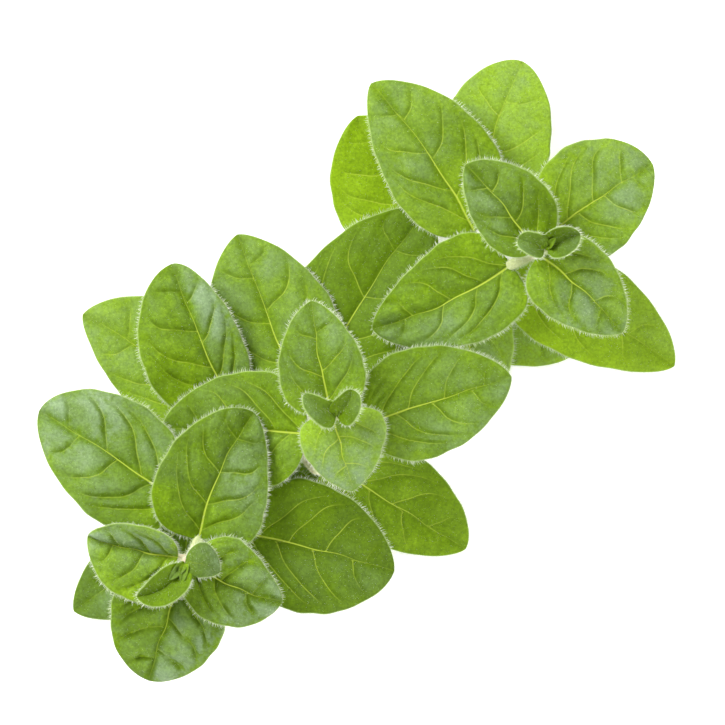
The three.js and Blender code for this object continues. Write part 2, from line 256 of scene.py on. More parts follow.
SPRIGS = {
    "left": (
        [(-15.7, -9.7, 1.1), (-18.7, -12.5, 1.1), (-20.7, -14.8, 2.6), (-22.5, -19.6, 8),
         (-24.5, -25.1, 14.5), (-25.8, -27.4, 19.5), (-27, -30, 24), (-27.7, -30.6, 27)],
        [
            leaf(0, (-35.5, -36.1, 25.5), 6.6, 0.6, 1.5, -0.3, 0.05, 0.2, 2,
                 bow=1.4, fold=38, curl=-10, wave=0, felt=1, lit=-0.6),
            leaf(0, (-22.2, -32.2, 26), 6.2, 0.1, 1.6, -0.75, 0.6, 0.2, 2,
                 bow=0.6, roll=-10, fold=10, curl=-40, skew=0.25, wave=0, felt=1, lit=0.6),
            leaf(1, (-43.7, -26.6, 21.5), 15, 2, 1, 0.15, 0.8, 1, 3,
                 bow=0.5, roll=-24, fold=30, curl=-10, skew=0.1, felt=0.6, lit=-0.8),
            leaf(1, (-12.1, -37.1, 19.5), 14, 0.4, 1.8, -0.15, 0.5, 1.3, 3,
                 bow=-1.2, skew=0.04, lean=-0.12, felt=0.6, lit=-0.1),
            leaf(2, (-16.7, -6.5, 18), 19, 0.2, 1.5, -0.4, 0.25, 1, 4,
                 bow=1.3, fold=10, ends=(0.28, 0.6), lean=0.1, lit=-0.4),
            leaf(2, (-34.1, -50.5, 12), 19, 5, 2, -0.05, 0.45, 1.3, 4,
                 bow=-0.5, curl=-6, ends=(0.42, 0.6), lit=0.6),
            leaf(3, (-52.3, -6.3, 9.5), 20, 6, 1.8, -0.15, 0.5, 0.8, 4,
                 bow=-0.8, roll=8, fold=10, ends=(0.42, 0.6), skew=0.04, lean=-0.2, lit=-0.2),
            leaf(3, (6.2, -32.6, 10), 21.6, 6.5, 2, -0.45, 0.1, 0.4, 4,
                 bow=0.6, curl=-6, ends=(0.42, 0.66), lean=-0.12, lit=-0.5),
            leaf(4, (-47, -39.6, 1.5), 15.5, 6, 1.5, -0.35, 0.35, 0.4, 3,
                 bow=0.6, curl=-10, skew=0.1, lit=0.3),
            leaf(4, (-3, -17.2, 5.2), 10, 3, -0.5, 0.6, 0.1, 0.4, 3, curl=-10),
            leaf(5, (-45.6, 9.7, 0.45), 18.8, 9, 1, 0.45, 0.35, 0.3, 3, bow=-3.2, skew=-0.11),
            leaf(5, (-3.6, -31.1, 0.4), 14, 4, 0, -0.2, 0.1, 0.3, 3),
        ],
    ),
    "middle": (
        [(-27.3, -10.1, 4.9), (-23, -10.1, 5.1), (-18.5, -10.4, 5.7), (-10, -11, 8.8),
         (-5, -14.6, 13.5), (-5.3, -10.2, 19), (-4.1, -6.2, 25), (-3.2, -6.9, 28)],
        [
            leaf(0, (-8.3, -3.3, 28.7), 4.7, 0.1, 1.2, -0.5, 0.3, 0.1, 2,
                 bow=0.3, fold=26, curl=0, ends=(0.25, 0.6), skew=0.2, wave=0, felt=1, lit=0.8),
            leaf(0, (-0.8, -2.7, 28.7), 5.2, 0.1, 1.2, -0.45, 0.15, 0.1, 2,
                 bow=-0.6, fold=26, curl=0, ends=(0.3, 0.6), skew=-0.05, wave=0, felt=1, lit=-0.8),
            leaf(1, (-7.2, 11.7, 26), 14, 0.2, 1.2, -0.1, 0.3, 0.6, 3,
                 bow=0.4, ends=(0.34, 0.68), felt=0.6),
            leaf(1, (-0.5, -19.1, 22.5), 14.4, 0.3, 1.6, 0.45, 0.85, 0.25, 3,
                 roll=-8, ends=(0.3, 0.77), skew=0.12, felt=0.6),
            leaf(2, (-32.1, -9.2, 9.6), 19.4, 3, 0.9, -0.2, 0.25, 0.7, 4,
                 bow=-0.5, curl=-10, ends=(0.38, 0.7), lit=0.5),
            leaf(2, (25.4, -0.6, 14.5), 18.3, 7, 1.5, -0.05, 0.35, 0.6, 4, skew=0.04, lit=-0.5),
            leaf(3, (18.1, -29.3, 0.5), 17, 0.5, 0.5, 0.05, 0, 0.4, 4,
                 ends=(0.36, 0.66), skew=0.06, lean=0.2, lit=-0.6),
            leaf(3, (-19.8, 23, 3), 21.8, 11, -0.8, 0.1, 0.25, 0.6, 4, bow=0.2),
            leaf(4, (11.8, 27.1, 4.2), 24.4, 10, -0.8, -0.25, 0.05, 0.5, 4,
                 bow=2, roll=-8, fold=6, curl=-6, skew=-0.09),
            leaf(4, (-14.5, -32.5, 5), 12, 5, 1.8, -0.2, 0.1, 0.4, 3),
            leaf(5, (-30.5, 18, 8.5), 17, 5, 3.2, -0.05, 0.5, 0.9, 4,
                 bow=0.4, roll=-2, fold=12, curl=-16, ends=(0.42, 0.58), skew=0.24, lit=-0.8),
            leaf(5, (-7.4, -34.4, 2.4), 12, 5, -0.6, -0.2, 0.1, 0.4, 3),
        ],
    ),
    "right": (
        [(6.1, 11.8, 1.1), (10.2, 15.3, 1.1), (13.9, 18.1, 2.6), (18.1, 19, 8),
         (21.9, 17.9, 13), (25.4, 17.8, 18), (29.3, 19.5, 23), (30.5, 20.1, 26)],
        [
            leaf(0, (26.3, 21.8, 26), 4.8, 0.3, 1.5, -0.6, 0.4, 0.1, 2,
                 fold=30, curl=10, wave=0, felt=1, lit=0.6),
            leaf(0, (36.2, 22.6, 26), 6.8, 0.3, 0.3, -0.5, 0.2, 0.2, 2,
                 fold=34, curl=20, wave=0, felt=1, lit=-0.8),
            leaf(1, (17.8, 33.9, 22), 13.2, 0.5, 1.5, -0.35, 0.3, 0.8, 3,
                 bow=-0.5, fold=10, skew=-0.12, felt=0.6, lit=0.5),
            leaf(1, (43.4, 6.7, 18.5), 14, 0.4, 1.5, 0.05, 0.45, 0.8, 3,
                 bow=0.6, fold=10, ends=(0.32, 0.68), felt=0.6, lit=-0.3),
            leaf(2, (48.6, 34.2, 14), 18.8, 7.5, 1.5, 0.3, 0.4, 0.65, 4,
                 bow=0.7, ends=(0.42, 0.62), skew=0.06, lean=0.12, lit=-0.1),
            leaf(2, (2.7, 7.3, 11.2), 17.5, 0.1, 1.5, -0.15, 0.25, 0.8, 4,
                 bow=1.2, ends=(0.26, 0.66), skew=-0.05, lit=0.6),
            leaf(3, (2.4, 47.7, 10), 18.6, 6, 1.8, 0.1, 0.25, 0.6, 4,
                 bow=-1.5, skew=-0.07, lit=0.3),
            leaf(3, (52.7, 1.2, 4), 17.2, 3, 2, 0.55, 0.1, 0.3, 3, bow=1.1, lit=0.6),
            leaf(4, (27.6, 51.6, 5), 19, 8, 1.5, 0.8, 0.4, 0.2, 3,
                 bow=1.5, ends=(0.42, 0.58), skew=-0.05),
            leaf(4, (20.9, -7.8, 2.2), 13.4, 5, -1.4, 1, 0.5, 0.4, 3, bow=-0.9, skew=0.12),
            leaf(5, (0.1, 42.8, 0.4), 20.5, 6, -0.2, 0.5, 0, 0.3, 4, bow=0.8, fold=3, curl=0),
            leaf(5, (37.2, 4, 0.4), 16.5, 4, 0.5, 1, 0.45, 0.4, 3, bow=-1.2),
        ],
    ),
}

BUDS = {
    "left": [leaf(0, (-30.1, -33.3, 28.7), 2, 0.1, 0.5, -0.2, 0.4, 0, 1, fold=36, curl=0, felt=1),
             leaf(0, (-28.2, -33.8, 28.5), 1.9, 0.1, 0.5, 0, 0.2, 0, 1, fold=36, curl=0, felt=1)],
    "middle": [leaf(0, (-4.5, -5.2, 29.3), 1.1, 0.1, 0.3, -0.9, 0, 0, 1, fold=40, curl=0),
               leaf(0, (-3.1, -5, 29.3), 1.1, 0.1, 0.3, -0.9, 0, 0, 1, fold=40, curl=0)],
    "right": [leaf(0, (32.2, 21.9, 27.6), 1.5, 0.1, 0.4, 0, 0.1, 0, 1, fold=34, curl=0, felt=1),
              leaf(0, (30, 22, 27.6), 1.4, 0.1, 0.4, -0.2, 0.1, 0, 1, fold=34, curl=0, felt=1)],
}
print("leaves:", {name: len(rows) + len(BUDS[name]) for name, (_, rows) in SPRIGS.items()})

# %% [markdown]
# ## The midrib
#
# A leaf hangs on one line, from the middle of the stem through the stalk to its tip. Three
# points make that line: the node, a lifted point halfway, and the tip. Everything on the leaf
# is placed by how far along this line it is and how far to the side.

# %% The midrib as a curve
def unit(v):
    """Directions, one unit long."""
    return v / np.maximum(np.linalg.norm(v, axis=-1, keepdims=True), 1e-12)


def root_of(stem, row):
    """The node that a leaf grows from."""
    return np.array(stem[len(stem) - 1 - row["node"]], float)


def midrib(row, root):
    """The line's three points and the level direction to its left."""
    tip = np.array(row["tip"], float)
    heading = (tip - root) * (1, 1, 0)
    heading /= np.linalg.norm(heading)
    left = np.array([-heading[1], heading[0], 0.0])
    bend = (root + tip) / 2 + 2 * row["arch"] * np.array([0, 0, 1.0]) + 2 * row["bow"] * left
    return root, bend, tip, left


def points_along(line, u):
    """Places and directions at u, from 0 at the node to 1 at the tip."""
    root, bend, tip, _ = line
    u = np.asarray(u)[..., None]
    places = (1 - u) ** 2 * root + 2 * u * (1 - u) * bend + u * u * tip
    ways = (1 - u) * (bend - root) + u * (tip - bend)
    return places, unit(ways)


def length_of(line):
    """The line's length from node to tip."""
    places, _ = points_along(line, np.linspace(0, 1, 201))
    return np.linalg.norm(np.diff(places, axis=0), axis=1).sum()

# %% [markdown]
# ## The blade's shape
#
# The outline is a single rule: the half width grows as a power of the distance from the stalk
# and shrinks as a power of the distance to the tip. The two halves fold up from the midrib,
# bend down again towards their edges, and the edge itself is gently waved.
#
# A subdivided plane and a lattice could give the same, but a rule in code puts each leaf
# exactly where its solid is.

# %% The outline
LEAST_HALF_WIDTH = 0.06
EDGE_UNEVENNESS = 0.009
EDGE_RIPPLES = ((19, 40, 3, 1.0), (37, 17, 5, 0.8))  # rate, shift by leaf and by half, share


def half_width(row, t):
    """The half width at t, from 0 at the stalk to 1 at the tip."""
    at_stalk, at_tip = row["ends"]
    widest = at_stalk / (at_stalk + at_tip)
    full = widest ** at_stalk * (1 - widest) ** at_tip
    shape = np.clip(t, 0, 1) ** at_stalk * np.clip(1 - t, 0, 1) ** at_tip / full
    return np.maximum(LEAST_HALF_WIDTH, row["wide"] / 2 * shape)


def reach_of(row, turn, t, s, hand):
    """Millimetres from the midrib along the blade, with the unevenness of its growth."""
    uneven = sum(share * np.sin(rate * t + by_leaf * turn + by_half * hand)
                 for rate, by_leaf, by_half, share in EDGE_RIPPLES)
    return np.abs(s) * half_width(row, t) * (1 + hand * row["skew"] + EDGE_UNEVENNESS * uneven)


# %% Bending the blade
WAVES_PER_BLADE = 1.6
WAVE_STEP = 0.37
ALMOST_FLAT = 1e-6


def middle_face(row, line, turn, t, s):
    """Places on the blade's middle face, the direction of its thickness, and how far each
    place is from the midrib. s runs from -1 at the right edge to 1 at the left."""
    start = row["stalk"] / length_of(line)
    places, along = points_along(line, start + (1 - start) * t)
    left = line[3]
    side = unit(left - (along @ left)[..., None] * along)
    normal = np.cross(along, side)
    roll = math.radians(row["roll"])
    across = side * math.cos(roll) + normal * math.sin(roll)
    rolled = normal * math.cos(roll) - side * math.sin(roll)

    hand = np.where(s >= 0, 1.0, -1.0)
    reach = reach_of(row, turn, t, s, hand)
    fold = math.radians(row["fold"])
    per_length = math.radians(row["curl"]) / (row["wide"] / 2) or ALMOST_FLAT
    slope = fold + per_length * reach
    out = (np.sin(slope) - math.sin(fold)) / per_length
    rise = (math.cos(fold) - np.cos(slope)) / per_length
    phase = WAVES_PER_BLADE * t + turn + np.where(hand > 0, WAVE_STEP, 0)
    lift = rise + row["wave"] * s * s * np.sin(np.pi * t) * np.sin(2 * np.pi * phase)

    slanted = across + row["lean"] * along
    places = places + (hand * out)[..., None] * slanted + lift[..., None] * rolled
    thick = rolled * np.cos(slope)[..., None] - across * (hand * np.sin(slope))[..., None]
    return places, unit(thick), hand * reach

# %% [markdown]
# ## Veins
#
# Side veins leave the midrib in turn, sweep outwards and bend towards the tip before they
# reach the edge. On a leaf of this kind there are three or four on each side. One smooth
# number says where a place lies between them: it is whole on a vein and passes one half
# midway. Its steepness turns that into millimetres, so that a vein is equally wide on a large
# and on a small leaf.

# %% Vein number
SWEEP = 0.62  # share of the blade that a side vein runs towards the tip
WAVER = 0.018
FIRST_VEIN = 0.05
STAGGER = 0.05
CROWDING = 0.85
PITCH_RANGE = (0.3, 12)


def vein_number(row, turn, t, s):
    """A whole number on each side vein, from 1 near the stalk upwards."""
    q = np.abs(s)
    hand = np.where(s >= 0, 1.0, 0.0)
    sweep = SWEEP * (0.5 * q + 0.5 * q ** 3)
    sweep += WAVER * np.sin(9 * q + 25 * turn + 2 * hand) * np.minimum(1, 3 * q)
    rooted = (t - sweep) / (1 - sweep) - FIRST_VEIN - STAGGER * np.sin(40 * turn + 2.5 * hand)
    spread = np.sign(rooted) * np.abs(rooted) ** CROWDING
    return 1 + row["veins"] * spread


def spacing(number, places):
    """Millimetres between two side veins at each place of a grid."""
    dn_t, dn_s = np.gradient(number)
    dp_t, dp_s = np.gradient(places, axis=0), np.gradient(places, axis=1)
    tt, ss, ts = (dp_t ** 2).sum(-1), (dp_s ** 2).sum(-1), (dp_t * dp_s).sum(-1)
    area = np.maximum(tt * ss - ts * ts, 1e-9)
    steep = (dn_t ** 2 * ss - 2 * dn_t * dn_s * ts + dn_s ** 2 * tt) / area
    return np.clip(1 / np.sqrt(np.maximum(steep, 1e-6)), *PITCH_RANGE)

# %% [markdown]
# ## Quilting
#
# Between its veins a marjoram blade swells up a little, and every vein lies in a groove. This
# catches the light more than anything else on the leaf, so it is real relief in the mesh and
# not only a painted bump. Each blade is a closed sheet, thinner at its edge.

# %% Relief of a blade
QUILT_HEIGHT = 0.6
VEIN_SHOULDER = 0.8
RIB_SHOULDER = 1.1
WRINKLE_HEIGHT = 0.36
COARSE_WRINKLE = (5.0, 0.55)  # length in millimetres, width in vein spacings
FINE_WRINKLE = (2.6, 0.24)
FINE_SHARE = 0.55
SMOOTH_BY_RIB = 1.6
UNDULATION = 0.12
MIDRIB_GROOVE = 0.15
GROOVE_HALF_WIDTH = 0.35
FLAT_MARGIN = 0.3
FULL_RELIEF_WIDTH = 14


def wrinkles(turn, number, offset, stretch, size):
    """Smooth noise from -1 to 1, drawn out along the side veins."""
    across = offset / stretch
    flat = [noise_at(Vector((n / size, a / size, 30 * turn)))
            for n, a in zip(number.ravel(), across.ravel())]
    return np.array(flat).reshape(number.shape)


def relief(row, turn, t, s, offset, number, pitch):
    """Millimetres that each place stands above or below the smooth blade."""
    to_vein = np.abs(number - np.maximum(1, np.round(number))) * pitch
    swell = (1 - np.exp(-to_vein / VEIN_SHOULDER)) * (1 - np.exp(-(offset / RIB_SHOULDER) ** 2))
    puckers = wrinkles(turn, number, offset, *COARSE_WRINKLE)
    puckers += FINE_SHARE * wrinkles(turn + 0.5, number, offset, *FINE_WRINKLE)
    puckers *= 1 - np.exp(-(offset / SMOOTH_BY_RIB) ** 2)
    raised = row["quilt"] * (QUILT_HEIGHT * (swell - 0.15) + WRINKLE_HEIGHT * puckers)
    raised += UNDULATION * np.sin(9 * t + 31 * turn) * np.sin(5 * s + 17 * turn)
    inner = np.clip((1 - np.abs(s)) / FLAT_MARGIN, 0, 1) * np.clip(3 * np.sin(np.pi * t), 0, 1)
    groove = MIDRIB_GROOVE * np.exp(-(offset / GROOVE_HALF_WIDTH) ** 2) * (1 - t)
    return min(1.0, row["wide"] / FULL_RELIEF_WIDTH) * (raised * inner - groove)


# %% The midrib's zigzag
ZIGZAG = 0.16
FULL_ZIGZAG_WIDTH = 16


def zigzag(row, turn, t):
    """How far the midrib steps to and fro, in millimetres, where side veins leave it."""
    swing = np.sin(2 * np.pi * (0.7 * row["veins"] * t + turn)) + 0.5 * np.sin(23 * t + 9 * turn)
    return ZIGZAG * min(1.0, row["wide"] / FULL_ZIGZAG_WIDTH) * swing * np.sin(np.pi * t)

# %% Numbers kept at the vertices
SMALL_BLADE = 8.0
FAINT_RIBS = 0.1
BLOOM_STEP = 1.5
BALD_MARGIN = 1.5


def blade_values(row, t, inset, offset, **others):
    """What materials and hairs read at each vertex: first the upper face, then the lower."""
    # Painted sheen: one half of the blade gets more grey than the other, as if the light fell on it.
    bloom = row["bloom"] * (1 + row["lit"] * np.tanh(offset / BLOOM_STEP))
    swath = np.clip(inset / BALD_MARGIN, 0.3, 1) * np.clip(8 * t, 0, 1)
    upper = {"along": t, "inset": inset, "offset": offset, "tone": row["tone"], "bloom": bloom,
             "quilt": row["quilt"], "ribbed": FAINT_RIBS if row["wide"] < SMALL_BLADE else 1.0,
             "under": 0.0, "felt": row["felt"] * swath, **others}
    lower = {**upper, "under": 1.0, "felt": 0.0}
    return {name: np.concatenate([np.broadcast_to(face[name], t.shape).ravel()
                                  for face in (upper, lower)]) for name in upper}


# %% One blade as a closed sheet
BLADE_THICKNESS = 0.34
EDGE_THICKNESS = 0.16
FULL_GRID = (72, 48)
SMALL_GRID = (36, 24)


def blade_grid(rows, columns):
    """t along a blade and s across it, closer together at its ends and near the midrib."""
    level = np.linspace(0, 1, rows + 1)
    t = 0.7 * (1 - np.cos(np.pi * level)) / 2 + 0.3 * level
    x = np.linspace(-1, 1, columns + 1)
    return np.meshgrid(t, x * (0.75 + 0.25 * np.abs(x)), indexing="ij")


def blade(row, root, turn):
    """Vertices in metres, faces, named values and margin of one blade."""
    t, s = blade_grid(*(SMALL_GRID if row["wide"] < SMALL_BLADE else FULL_GRID))
    places, thick, offset = middle_face(row, midrib(row, root), turn, t, s)
    number = vein_number(row, turn, t, s)
    pitch = spacing(number, places)
    offset = offset - zigzag(row, turn, t)
    raised = relief(row, turn, t, s, offset, number, pitch)
    places = places + raised[..., None] * thick
    half = (EDGE_THICKNESS + (BLADE_THICKNESS - EDGE_THICKNESS) * (1 - s ** 4)) / 2
    half *= min(1.0, 0.3 + row["wide"] / SMALL_BLADE)
    above, below = places + half[..., None] * thick, places - half[..., None] * thick
    vertices = np.concatenate([above.reshape(-1, 3), below.reshape(-1, 3)]) * MM
    inset = half_width(row, t) * (1 - np.abs(s))
    values = blade_values(row, t, inset, offset, vein=number, pitch=pitch, raised=raised)
    return vertices, sheet_faces(*t.shape), values, margin_line(places, thick)


def sheet_faces(rows, columns):
    """Faces of two equal grids, back to back, and of the rim between them."""
    index = np.arange(rows * columns).reshape(rows, columns)
    a, b = index[:-1, :-1].ravel(), index[1:, :-1].ravel()
    c, d = index[1:, 1:].ravel(), index[:-1, 1:].ravel()
    n = rows * columns
    faces = [np.stack([a, b, c, d], 1), np.stack([a, d, c, b], 1) + n]
    rim = np.concatenate([index[0, :-1], index[:-1, -1], index[-1, :0:-1], index[:0:-1, 0]])
    following = np.roll(rim, -1)
    faces.append(np.stack([rim, following, following + n, rim + n], 1))
    return np.concatenate(faces)

# %% [markdown]
# The line of the margin is kept as well, with the direction straight out of the blade at
# each of its points. The fringe of hairs will stand on it. A bud has none yet, nor have the
# two tiny leaves of a tip where they touch.

# %% The margin of a blade
SEAM_REACH = 0.75
NO_RIM = 5.0


def margin_line(places, thick):
    """Points round a blade in metres, the outward and the upward direction at each, and
    whether hairs stand there."""
    loop = np.concatenate([places[:, 0], places[::-1, -1]])
    up = np.concatenate([thick[:, 0], thick[::-1, -1]])
    ways = unit(np.roll(loop, -1, axis=0) - np.roll(loop, 1, axis=0))
    outward = unit(np.cross(ways, up))
    if ((loop - loop.mean(0)) * outward).sum() < 0:
        outward = -outward
    return loop * MM, outward, up, np.ones(len(loop), bool)


def touches(points, others):
    """Which points are within SEAM_REACH of any of the others."""
    apart = points[:, None, :] - others[None, ::3, :]
    return (apart ** 2).sum(-1).min(1) < (SEAM_REACH * MM) ** 2


def bare_seam(part, other):
    """Takes the pale rim and the fringe off a small leaf where its partner touches it."""
    vertices, _, values, margin = part
    values["inset"] += NO_RIM * touches(vertices, other[0])
    margin[3][touches(margin[0], other[0])] = False


def plain_bud(part):
    """Takes the pale rim and the fringe off a bud's leaf."""
    part[2]["inset"] += NO_RIM
    part[3][3][:] = False

# %% Blades of a sprig as one mesh
BUD_TURN = 0.5


def set_values(mesh, values):
    """Stores named numbers at the mesh's points."""
    for name, v in values.items():
        flat = np.asarray(v, np.float32).ravel()
        kind = "FLOAT_VECTOR" if flat.size == 3 * len(mesh.vertices) else "FLOAT"
        held = mesh.attributes.new(name, kind, "POINT")
        held.data.foreach_set("vector" if kind == "FLOAT_VECTOR" else "value", flat)


def sprig_blades(name, stem, rows, first):
    """The sprig's blades as a mesh, and the margins of all of them."""
    parts = [blade(row, root_of(stem, row), ((first + k) * WAVE_STEP) % 1)
             for k, row in enumerate(rows)]
    bare_seam(parts[0], parts[1])
    bare_seam(parts[1], parts[0])
    buds = [blade(row, root_of(stem, row), BUD_TURN) for row in BUDS[name]]
    for bud in buds:
        plain_bud(bud)
    parts += buds
    starts = np.cumsum([0] + [len(p[0]) for p in parts])
    mesh = bpy.data.meshes.new("leaves_" + name)
    vertices = np.concatenate([p[0] for p in parts])
    faces = np.concatenate([p[1] + start for p, start in zip(parts, starts)])
    mesh.from_pydata(vertices.tolist(), [], faces.tolist())
    set_values(mesh, {key: np.concatenate([p[2][key] for p in parts]) for key in parts[0][2]})
    mesh.shade_smooth()
    return mesh, [p[3] for p in parts]


blades = {}
first = 0
for name, (stem, rows) in SPRIGS.items():
    blades[name] = sprig_blades(name, stem, rows, first)
    first += len(rows)
    print(name, "blade faces:", len(blades[name][0].polygons))

# %% [markdown]
# ## The look of a leaf
#
# Fresh marjoram is yellow-green in its hollows and greyer on its swellings, where fine hairs lie
# over the skin as a bloom. Here that grey is partly the hairs and partly painted sheen: it lies
# thickest on the swellings and on one half of a blade, as if the light caught them there, and the
# hollows beside the veins get a painted shade of deep green. The veins are pale. The underside is
# paler and duller than the face. Light also comes through: a Translucent shader beside the
# Principled one lets the thin blade glow a little.
#
# Colours are built in layers, from the numbers stored on the mesh and from noise on the
# object's own coordinates: leaf tone, with painted light near the stalk, mottling, bloom with
# painted sheen, fine net, painted shade in the grooves beside the veins, side veins, midrib,
# edge and underside.

# %% Leaf colours
def srgb(red, green, blue):
    """A screen colour from 0 to 255 as the linear one that a shader takes."""
    return tuple(((c / 255 + 0.055) / 1.055) ** 2.4 if c > 10 else c / 3295
                 for c in (red, green, blue)) + (1.0,)


DEEP_GREEN = srgb(70, 96, 0)
LEAF_GREEN = srgb(110, 144, 0)
YOUNG_GREEN = srgb(160, 198, 28)
# The grey of the hairs' bloom, which also serves as painted sheen on swellings and on the lit half of
# a blade.
BLOOM_GREY = srgb(140, 166, 118)
VEIN_PALE = srgb(200, 220, 76)
EDGE_PALE = srgb(180, 208, 120)
UNDERSIDE = srgb(134, 158, 92)
print("leaf greens:", [[round(c, 3) for c in g] for g in (DEEP_GREEN, LEAF_GREEN, YOUNG_GREEN)])


# %% What a finish reads
def stored(tree, name):
    """A number stored on the mesh."""
    return new_node(tree, "ShaderNodeAttribute", attribute_name=name).outputs["Fac"]


def own_place(tree):
    """The place on the object, in its own coordinates."""
    return new_node(tree, "ShaderNodeTexCoord").outputs["Object"]


def noise(tree, place, size, detail=2.0, rough=0.5):
    """Noise with bumps of a size in millimetres."""
    inputs = {"Vector": place, "Scale": 1 / (size * MM), "Detail": detail, "Roughness": rough}
    return wired(tree, "ShaderNodeTexNoise", inputs, noise_dimensions="3D").outputs["Fac"]


# %% What a finish does to a colour and a surface
def layered(tree, colour, layers):
    """A colour under others, each with its share."""
    for share, top in layers:
        colour = blend_colours(tree, share, colour, top)
    return colour


def shaded(tree, colour, light):
    """A colour made lighter or darker by a number."""
    made = new_node(tree, "ShaderNodeCombineColor")
    for socket in made.inputs:
        plug(tree, socket, light)
    return blend_colours(tree, 1.0, colour, made.outputs[0], "MULTIPLY")


def bumped(tree, height, depth, strength=1.0):
    """A surface direction that follows a height, with its depth in millimetres."""
    inputs = {"Height": height, "Distance": depth * MM, "Strength": strength}
    return wired(tree, "ShaderNodeBump", inputs).outputs[0]


def lit_through(tree, colour, share, settings):
    """A Principled surface that lets a share of the light through."""
    through = wired(tree, "ShaderNodeBsdfTranslucent", {"Color": colour})
    both = new_node(tree, "ShaderNodeMixShader")
    skin = principled(tree, {"Base Color": colour, **settings})
    for socket, value in zip(both.inputs, (share, skin, through.outputs[0])):
        plug(tree, socket, value)
    return both.outputs[0]

# %% Leaf veins in the shader
RIB_HALF_WIDTHS = (0.25, 0.06)  # at the stalk and at the tip
VEIN_HALF_WIDTH = 0.13
HOLLOW_WIDTH = 1.1


def vein_lines(tree):
    """How strongly a place is midrib, side vein, and in the painted shade beside them."""
    along, inset = stored(tree, "along"), stored(tree, "inset")
    offset = calc(tree, "ABSOLUTE", stored(tree, "offset"))
    across_rib = calc(tree, "DIVIDE", offset, ramp(tree, along, 0.0, 0.7, *RIB_HALF_WIDTHS))
    rib = product(tree, ramp(tree, across_rib, 0.35, 1.0, 1.0, 0.0),
                  ramp(tree, along, 0.4, 0.95, 1.0, 0.2), stored(tree, "ribbed"))

    number = stored(tree, "vein")
    whole = calc(tree, "MAXIMUM", calc(tree, "ROUND", number), 1.0)
    beyond = product(tree, calc(tree, "SUBTRACT", number, whole), stored(tree, "pitch"))
    to_vein = calc(tree, "ABSOLUTE", beyond)
    side = product(tree, ramp(tree, to_vein, 0.02, VEIN_HALF_WIDTH, 1.0, 0.0),
                   ramp(tree, inset, 0.8, 4.0), ramp(tree, along, 0.65, 0.9, 1.0, 0.0),
                   stored(tree, "ribbed"))

    # Painted shade: a dark band on the tip side of each side vein and along the midrib, where the
    # grooves would lie in shade.
    flank = product(tree, ramp(tree, beyond, 0.02, 0.2),
                    ramp(tree, beyond, 0.25, HOLLOW_WIDTH, 1.0, 0.0), ramp(tree, inset, 0.8, 3.0))
    by_rib = product(tree, ramp(tree, offset, 0.2, 1.2, 1.0, 0.0), 0.6)
    return rib, side, calc(tree, "MAXIMUM", flank, by_rib)

# %% Leaf tone and bloom
def leaf_tone(tree, place):
    """The leaf's green, from deep to young, and how uneven it is."""
    mottling = calc(tree, "ADD", scaled(tree, noise(tree, place, 5.0, 3.0), 0.7, -0.35),
                    scaled(tree, noise(tree, place, 1.0, 4.0, 0.7), 0.7, -0.35))
    uneven = scaled(tree, stored(tree, "quilt"), 0.6, 0.45)
    tone = scaled(tree, stored(tree, "tone"), 0.5, 0.5)
    tone = calc(tree, "ADD", tone, product(tree, mottling, uneven))
    # Painted light: a blade is made lighter near its stalk, where the leaves above it shade it.
    tone = calc(tree, "ADD", tone, ramp(tree, stored(tree, "along"), 0.0, 0.45, 0.2, 0.0))
    greens = new_node(tree, "ShaderNodeValToRGB")
    plug(tree, greens.inputs[0], tone)
    greens.color_ramp.elements[0].color = DEEP_GREEN
    greens.color_ramp.elements[1].color = YOUNG_GREEN
    greens.color_ramp.elements.new(0.5).color = LEAF_GREEN
    return greens.outputs[0], uneven


def leaf_bloom(tree, place, hollow, uneven):
    """How much grey a place gets from the hairs and from painted sheen, and how much painted shade
    lies there beside a vein.
    """
    grainy = scaled(tree, noise(tree, place, 1.3, 4.0, 0.65), 1.6, -0.8)
    # Painted sheen: more grey on the swellings, less in the grooves and near the stalk.
    crest = ramp(tree, scaled(tree, grainy, uneven, stored(tree, "raised")), -0.4, 0.5, 0.1, 1.1)
    broken = product(tree, stored(tree, "quilt"), ramp(tree, noise(tree, place, 3.5), 0.35, 0.6))
    # Painted shade lies in broken patches along the grooves and keeps the painted sheen out of them.
    crease = product(tree, hollow, scaled(tree, broken, 0.7, 0.15))
    clouds = ramp(tree, noise(tree, place, 7.0), 0.35, 0.65, -0.55, 0.45)
    bloom = product(tree, stored(tree, "bloom"), crest, scaled(tree, crease, -0.8, 1.0),
                    ramp(tree, stored(tree, "along"), 0.0, 0.75, 0.3, 1.2),
                    scaled(tree, clouds, uneven, 1.0))
    return bloom, crease


# %% Leaf net and material
NET_CELL = 1.1
BUMP_DEPTH = 0.06
LEAF_LIGHT_THROUGH = 0.25


def fine_net(tree, place):
    """The finest net of veins, and the grain of the skin."""
    cells = wired(tree, "ShaderNodeTexVoronoi", {"Vector": place, "Scale": 1 / (NET_CELL * MM)},
                  feature="DISTANCE_TO_EDGE")
    net = ramp(tree, cells.outputs["Distance"], 0.0, 0.12, 1.0, 0.0)
    return net, noise(tree, place, 0.4, 3.0, 0.7)


